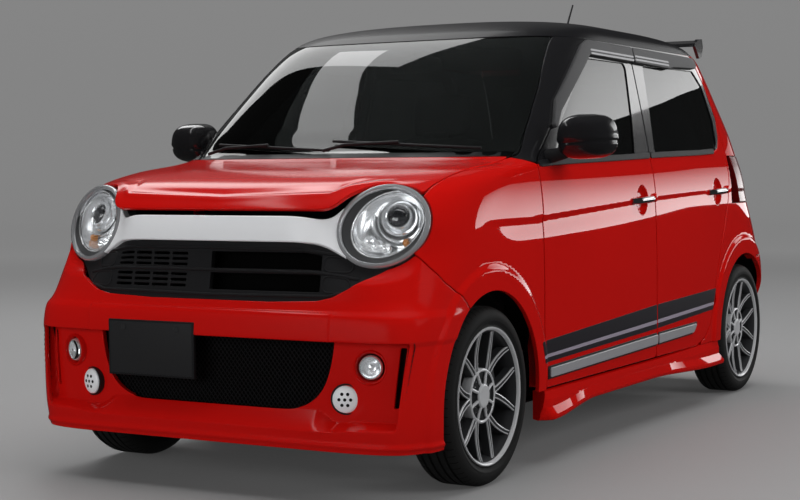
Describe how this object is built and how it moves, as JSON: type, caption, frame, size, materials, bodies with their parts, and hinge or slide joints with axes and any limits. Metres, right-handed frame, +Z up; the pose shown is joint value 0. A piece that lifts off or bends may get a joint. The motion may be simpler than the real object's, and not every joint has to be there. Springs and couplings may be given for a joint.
{
  "type": "kei car",
  "caption": "Small five-door hatchback with round headlamps, a bright bar across the grille, opening doors, hood and tailgate, and steered alloy wheels.",
  "frame": {"origin": "on the ground in the middle of the car, under the centre of its box", "axes": "+Z up, -Y towards the nose, +X towards the left side of the car"},
  "size_m": [1.8398, 3.3959, 1.7483],
  "materials": {
    "red_paint": "gloss",
    "black_paint": "gloss",
    "black_plastic": "grained",
    "bright_trim": "satin",
    "clear_lens": "clear",
    "red_lens": "clear",
    "glass": "clear",
    "rim_alloy": "satin",
    "tyre_rubber": "matte",
    "seal_rubber": "matte",
    "chassis_steel": "satin",
    "cast_metal": "rough",
    "engine_metal": "cast",
    "seat_cloth": "woven",
    "dash_plastic": "grained"
  },
  "bodies": {
    "body": {"body_sides": "red_paint", "front_fenders": "red_paint", "front_bumper": "red_paint", "rear_bumper": "red_paint", "side_skirts": "red_paint", "roof_panel": "black_paint", "cowl": "black_plastic", "wheel_housings": "black_plastic", "grille": "black_plastic", "lower_mesh": "black_plastic", "fuel_tank": "black_plastic", "grille_garnish": "bright_trim", "fog_lamps": "bright_trim", "headlamps": "clear_lens", "tail_lamps": "red_lens", "windscreen": "glass", "door_seals": "seal_rubber", "floor_pan": "chassis_steel", "front_suspension": "chassis_steel", "rear_axle": "chassis_steel", "exhaust": "cast_metal", "engine_block": "engine_metal", "front_seats": "seat_cloth", "rear_seat": "seat_cloth", "dashboard": "dash_plastic"},
    "hood": {"hood": "red_paint"},
    "door_front_left": {"door_front_left": "red_paint", "glass_front_left": "glass", "mirror_left": "black_paint"},
    "door_front_right": {"door_front_right": "red_paint", "glass_front_right": "glass", "mirror_right": "black_paint"},
    "door_rear_left": {"door_rear_left": "red_paint", "glass_rear_left": "glass"},
    "door_rear_right": {"door_rear_right": "red_paint", "glass_rear_right": "glass"},
    "tailgate": {"tailgate": "red_paint", "tailgate_glass": "glass", "spoiler": "black_paint"},
    "steering_wheel": {"steering_wheel": "dash_plastic"},
    "knuckle_left": {"knuckle_left": "cast_metal"},
    "knuckle_right": {"knuckle_right": "cast_metal"},
    "wheel_front_left": {"rim_front_left": "rim_alloy", "tyre_front_left": "tyre_rubber"},
    "wheel_front_right": {"rim_front_right": "rim_alloy", "tyre_front_right": "tyre_rubber"},
    "wheel_rear_left": {"rim_rear_left": "rim_alloy", "tyre_rear_left": "tyre_rubber"},
    "wheel_rear_right": {"rim_rear_right": "rim_alloy", "tyre_rear_right": "tyre_rubber"}
  },
  "joints": [
    {"name": "hood_lift", "type": "hinge", "parent": "body", "child": "hood", "pos_m": [0, -0.8055, 1.049], "axis": [-1, 0, 0], "range_deg": [0, 60]},
    {"name": "front_left_door", "type": "hinge", "parent": "body", "child": "door_front_left", "pos_m": [0.735, -0.778, 0.8], "axis": [0.061, 0, -0.9981], "range_deg": [0, 68]},
    {"name": "front_right_door", "type": "hinge", "parent": "body", "child": "door_front_right", "pos_m": [-0.735, -0.778, 0.8], "axis": [0.061, 0, 0.9981], "range_deg": [0, 68]},
    {"name": "rear_left_door", "type": "hinge", "parent": "body", "child": "door_rear_left", "pos_m": [0.735, 0.2705, 0.8], "axis": [0.061, 0, -0.9981], "range_deg": [0, 72]},
    {"name": "rear_right_door", "type": "hinge", "parent": "body", "child": "door_rear_right", "pos_m": [-0.735, 0.2705, 0.8], "axis": [0.061, 0, 0.9981], "range_deg": [0, 72]},
    {"name": "tailgate_lift", "type": "hinge", "parent": "body", "child": "tailgate", "pos_m": [0, 1.257, 1.4835], "axis": [1, 0, 0], "range_deg": [0, 70]},
    {"name": "steer_left", "type": "hinge", "parent": "body", "child": "knuckle_left", "pos_m": [0.6025, -1.1775, 0.2855], "axis": [0, 0, 1], "range_deg": [-33, 33]},
    {"name": "steer_right", "type": "hinge", "parent": "body", "child": "knuckle_right", "pos_m": [-0.6025, -1.1775, 0.2855], "axis": [0, 0, 1], "range_deg": [-33, 33]},
    {"name": "steering_wheel_turn", "type": "hinge", "parent": "body", "child": "steering_wheel", "pos_m": [-0.35, -0.2775, 0.94], "axis": [0, 0.9135, 0.4067], "range_deg": [-500, 500]},
    {"name": "front_left_wheel", "type": "hinge", "parent": "knuckle_left", "child": "wheel_front_left", "pos_m": [0.6525, -1.1775, 0.2855], "axis": [1, 0, 0], "continuous": true},
    {"name": "rear_left_wheel", "type": "hinge", "parent": "body", "child": "wheel_rear_left", "pos_m": [0.6525, 1.3425, 0.2855], "axis": [1, 0, 0], "continuous": true},
    {"name": "front_right_wheel", "type": "hinge", "parent": "knuckle_right", "child": "wheel_front_right", "pos_m": [-0.6525, -1.1775, 0.2855], "axis": [1, 0, 0], "continuous": true},
    {"name": "rear_right_wheel", "type": "hinge", "parent": "body", "child": "wheel_rear_right", "pos_m": [-0.6525, 1.3425, 0.2855], "axis": [1, 0, 0], "continuous": true}
  ],
  "couplings": [
    {"joint": "steer_right", "follows": "steer_left", "ratio": 1},
    {"joint": "steering_wheel_turn", "follows": "steer_left", "ratio": 15}
  ]
}
